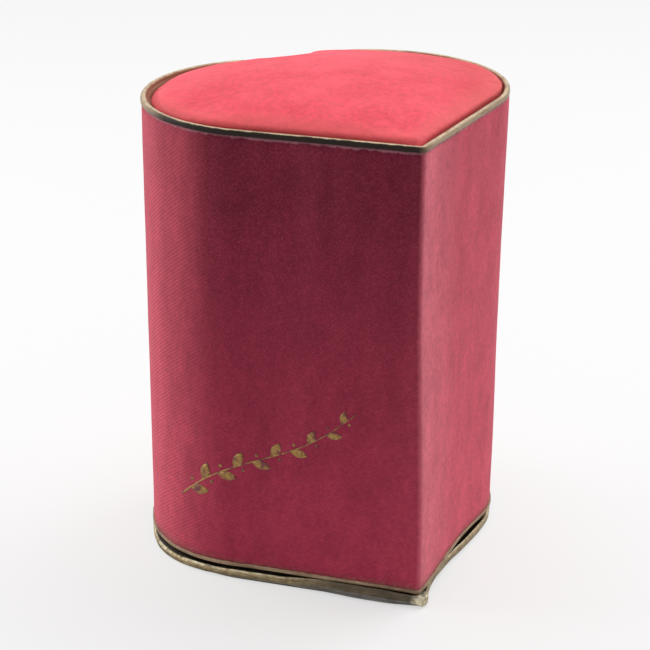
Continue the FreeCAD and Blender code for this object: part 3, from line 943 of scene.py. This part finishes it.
def apply_modifiers(piece):
    """Puts the result of a piece's modifiers into its mesh."""
    bpy.context.view_layer.update()
    evaluated = piece.evaluated_get(bpy.context.evaluated_depsgraph_get())
    mesh = bpy.data.meshes.new_from_object(evaluated)
    piece.modifiers.clear()
    piece.data = mesh


bm = bmesh.new()
for name in ("pad_cloth", "pad_wadding", "pad_card"):
    bm.from_mesh(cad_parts[name].data)
pad = piece_from(bm, "satin_pad", "cover", "satin", satin, "pad_cloth", "pad_wadding")
remesh = pad.modifiers.new("even cells", "REMESH")
remesh.mode = "VOXEL"
remesh.voxel_size = VOXEL
apply_modifiers(pad)
bm = bmesh.new()
bm.from_mesh(pad.data)
crown = [v for v in bm.verts if v.co.z > pad_shoulder - 0.3 * MM]
for _ in range(SMOOTHING_ROUNDS):
    bmesh.ops.smooth_vert(bm, verts=crown, factor=0.5, use_axis_x=True, use_axis_y=True, use_axis_z=True)
bm.to_mesh(pad.data)
bm.free()
print("pad form:", len(pad.data.vertices), "vertices")

# %% Pad simulation
SIM_SCALE = 8
PRESSURE = 4.0
FRAMES = 20
MOST_MOVE = 0.9 * MM

before = [v.co.copy() for v in pad.data.vertices]
blown = placed("blown pad", pad.data.copy())
blown.data.transform(Matrix.Scale(SIM_SCALE, 4))
held = blown.vertex_groups.new(name="held")
for index, co in enumerate(before):
    held.add([index], 1 - smooth_step(co.z, pad_shoulder - 0.4 * MM, pad_shoulder + 0.8 * MM), "REPLACE")
sim = blown.modifiers.new("cloth", "CLOTH")
sim.settings.vertex_group_mass = "held"
sim.settings.use_pressure = True
sim.settings.uniform_pressure_force = PRESSURE
sim.settings.effector_weights.gravity = 0
sim.collision_settings.use_collision = False
for number in range(1, FRAMES + 1):
    bpy.context.scene.frame_set(number)
apply_modifiers(blown)
after = [v.co / SIM_SCALE for v in blown.data.vertices]
bpy.data.objects.remove(blown)
bpy.context.scene.frame_set(1)
moves = [end - start for start, end in zip(before, after)]
for vertex, start, move in zip(pad.data.vertices, before, moves):
    vertex.co = start + move * min(1, MOST_MOVE / max(move.length, WELD))
print("simulated move in mm, before the cap:", round(max(m.length for m in moves) / MM, 2))

# %% Pad after the simulation
FULLER = 0.040            # share by which the satin swells towards the rim
FULLER_BACK = 0.016       # the same, at the back
EDGE_LIFT = 1.1 * MM      # height to which the satin rises close to the rim
ROUNDER = 0.85            # below 1, the flanks stand higher under the same top
PAD_EDGE = 1.8 * MM       # cover's outline to the pad's edge
EDGE_RAISE = 0.5 * MM     # rise of the very edge, where the satin meets the rim
EDGE_BACK = 0.8           # share of that rise that is missing at the back on the right
LESS_LIFT, LESS_ROUND = 0.75, 0.15     # how much lower and flatter it is at the back on the left
PAD_RIPPLES = (0.08, 12, 4.4), (0.04, 4, 6.1)

top = max(v.co.z for v in pad.data.vertices)
crown_high = pad_top - pad_shoulder
for vertex in pad.data.vertices:
    co = vertex.co.copy()
    wider = smooth_step(co.z, pad_shoulder - 0.8 * MM, pad_shoulder + 1.2 * MM)
    back = smooth_step(co.y, LOBE_Y, LOBE_Y + 20 * MM)
    longer = wider * (FULLER + (FULLER_BACK - FULLER) * back)
    vertex.co = Vector((co.x * (1 + FULLER * wider), LOBE_Y + (co.y - LOBE_Y) * (1 + longer), co.z))
    if co.z > pad_shoulder:
        lift = EDGE_LIFT * smooth_step(-beyond(co), PAD_EDGE - 0.2 * MM, PAD_EDGE + 2.2 * MM)
        flatter = smooth_step(-co.x, 2 * MM, 12 * MM) * smooth_step(co.y, 12 * MM, 24 * MM)
        lift *= 1 - LESS_LIFT * flatter
        rise = crown_high * ((co.z - pad_shoulder) / (top - pad_shoulder)) ** (ROUNDER + LESS_ROUND * flatter)
        vertex.co.z = pad_shoulder + math.hypot(rise, lift) * crown_high / math.hypot(crown_high, EDGE_LIFT)
        vertex.co.z += rippled(co, *PAD_RIPPLES)
    near_edge = swelled(co.z, EDGE_RAISE, pad_shoulder / MM + 0.2, 1.6)
    near_edge *= 1 - EDGE_BACK * back * smooth_step(co.x, -12 * MM, 0)
    vertex.co += leaning(co) + Vector((0, 0, near_edge))
inset = pad.data.attributes.new("inset", "FLOAT", "POINT")
inset.data.foreach_set("value", [-beyond(v.co) for v in pad.data.vertices])
pad.data.shade_smooth()
pad.data.materials.clear()
pad.data.materials.append(satin)
finer = pad.modifiers.new("finer", "SUBSURF")
finer.levels = finer.render_levels = 1
top = max(v.co.z for v in pad.data.vertices)
print("pad:", len(pad.data.vertices), "vertices, top in mm:", round(top / MM, 2))

# %% [markdown]
# ## Gold sprig on the left side
#
# A slender sprig is stamped in gold on the left side, rising towards the tip with the rib of the cloth.
# Stem, leaves and buds are drawn flat, with the distance along the outline and the height as their two
# directions, and then laid on the wall point by point. The gold is thin and has worn away in places.

# %% Gold of the sprig
STAMPED_GOLD, STAMPED_DARK, BARE_CLOTH = (0.40, 0.24, 0.065), (0.20, 0.085, 0.035), (0.17, 0.022, 0.036)

sprig_gold, tree, surface, coords = material("worn stamped gold")
mark_share = between(cloudy(coords, 650, 5, 0.65), 0.47, 0.60)
shade = between(cloudy(coords, 1800, 3), 0.4, 0.7)
gold = blended(shade, STAMPED_GOLD, STAMPED_DARK)
metal = scaled(mark_share, -0.5, 0.5)
set_surface(surface, Base_Color=blended(mark_share, gold, BARE_CLOTH), Metallic=metal, Roughness=0.5,
            Normal=bumped(shade, 0.02 * MM, 0.5))
print("gold of the sprig ready")

# %% Sprig
SPRIG_START = Vector((-52 * MM, 17 * MM, 0))     # along the outline and up
SPRIG_END = Vector((-13 * MM, 43 * MM, 0))
STEM_WIDTH = 0.30 * MM
STEM_WAVE = 1.3 * MM
LEAVES = 10
LEAF_LONG, LEAF_WIDE = 4.4 * MM, 1.15 * MM
LEAF_ANGLE = math.radians(38)
BUD, BUD_REACH = 0.42 * MM, 2.1 * MM
SPRIG_LIFT = 0.05 * MM
SPRIG_THICK = 0.04 * MM

wall_half = bmesh.new()
wall_line = [v.co.copy() for v in half_heart(wall_half, 0, 0)]
wall_half.free()
wall_steps = [0]
for before, after in zip(wall_line, wall_line[1:]):
    wall_steps.append(wall_steps[-1] + (after - before).length)


def on_wall(along, height):
    """The point of the dressed wall at a distance along the outline, left of the tip if negative."""
    index = max(i for i, step in enumerate(wall_steps[:-1]) if step <= abs(along))
    part = (abs(along) - wall_steps[index]) / (wall_steps[index + 1] - wall_steps[index])
    co = wall_line[index].lerp(wall_line[index + 1], part)
    co = Vector((math.copysign(co.x, along), co.y, height))
    return co + standing(co) + pasted(co) + outward(co) * SPRIG_LIFT


def stem_at(share):
    """A point of the wavy stem and the way it runs there, in the flat drawing."""
    run = SPRIG_END - SPRIG_START
    across = Vector((-run.y, run.x, 0)).normalized()
    bend = 2 * math.pi * share
    way = run + across * STEM_WAVE * 2 * math.pi * math.cos(bend)
    return SPRIG_START + run * share + across * STEM_WAVE * math.sin(bend), math.atan2(way.y, way.x)


def laid(bm, verts, place, angle):
    """Turns and moves a flat form in the drawing."""
    bmesh.ops.rotate(bm, verts=verts, cent=(0, 0, 0), matrix=Matrix.Rotation(angle, 3, "Z"))
    bmesh.ops.translate(bm, verts=verts, vec=place)


bm = bmesh.new()
stem = bmesh.ops.create_grid(bm, x_segments=60, y_segments=1, size=0.5)["verts"]
for vertex in stem:
    share = vertex.co.x + 0.5
    place, angle = stem_at(share)
    across = Vector((-math.sin(angle), math.cos(angle), 0))
    vertex.co = place + across * vertex.co.y * STEM_WIDTH * (1.2 - 0.7 * share)
for number in range(LEAVES):
    share = 0.08 + 0.84 * number / (LEAVES - 1)
    place, angle = stem_at(share)
    turn = LEAF_ANGLE if number % 2 else -LEAF_ANGLE
    size = 1.1 - 0.45 * share
    leaf = bmesh.ops.create_circle(bm, cap_ends=True, cap_tris=True, segments=20, radius=0.5)["verts"]
    for vertex in leaf:
        taper = 1 - (2 * abs(vertex.co.x)) ** 2 * 0.55
        along, wide = vertex.co.x + 0.5, vertex.co.y * 2 * taper
        vertex.co = Vector((along * LEAF_LONG * size, wide * LEAF_WIDE * size, 0))
    laid(bm, leaf, place, angle + turn)
    bud = bmesh.ops.create_circle(bm, cap_ends=True, cap_tris=True, segments=10, radius=BUD * size)["verts"]
    reach = Vector((math.cos(angle - turn), math.sin(angle - turn), 0))
    laid(bm, bud, place + reach * BUD_REACH * size, 0)
bmesh.ops.triangulate(bm, faces=[f for f in bm.faces if len(f.verts) > 4])
bmesh.ops.subdivide_edges(bm, edges=[e for e in bm.edges if e.calc_length() > 0.8 * MM], cuts=1)
for vertex in bm.verts:
    vertex.co = on_wall(vertex.co.x, vertex.co.y)
bmesh.ops.solidify(bm, geom=bm.faces[:], thickness=-SPRIG_THICK)
sprig = piece_from(bm, "gold_sprig", "cover", "gold_foil", sprig_gold)
print("sprig:", len(sprig.data.polygons), "faces")

# %% [markdown]
# ## Papers and boards
#
# The inside shows when the cover is lifted: ivory paper on the cup and in the cover, raw grey board where
# an edge is cut, and grey card under the base. These pieces keep their CAD shapes and get finishes with
# fibres, flecks and a little yellowing.

# %% Papers and boards
def paper(name, base, shade, fleck, fibre_scale, fleck_share):
    """Paper or board: base colour, a cloudy darker shade, flecks and fine fibres."""
    made, tree, surface, coords = material(name)
    clouds = between(cloudy(coords, 45, 5), 0.35, 0.75)
    fibres = cloudy(coords, fibre_scale, 4, 0.65, stretch=(1, 0.4, 1))
    flecks = between(cloudy(coords, fibre_scale * 0.6, 3), 0.66, 0.74)
    colour = layered(blended(clouds, base, shade), [(fleck, flecks, fleck_share)])
    set_surface(surface, Base_Color=colour, Roughness=0.85, Specular_IOR_Level=0.2,
                Normal=bumped(fibres, 0.05 * MM, 0.5))
    return made


lining_paper = paper("lining paper", (0.80, 0.74, 0.60), (0.70, 0.61, 0.45), (0.50, 0.38, 0.24), 1400, 0.35)
grey_board = paper("grey board", (0.34, 0.30, 0.25), (0.26, 0.23, 0.19), (0.55, 0.50, 0.43), 1100, 0.6)
under_card = paper("under card", (0.20, 0.19, 0.18), (0.14, 0.13, 0.125), (0.34, 0.32, 0.30), 1200, 0.5)
FINISHES = {
    lining_paper: ("cup_outer_paper", "cup_lining", "cup_floor_card", "wall_lining", "ceiling_paper"),
    grey_board: ("base_board", "cup_board", "wall_board", "top_board", "pad_card"),
    under_card: ("base_underside_card",),
}
for finish, names in FINISHES.items():
    for name in names:
        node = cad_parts[name]
        node.data.materials.clear()
        node.data.materials.append(finish)
print("finished CAD nodes:", sum(len(names) for names in FINISHES.values()))
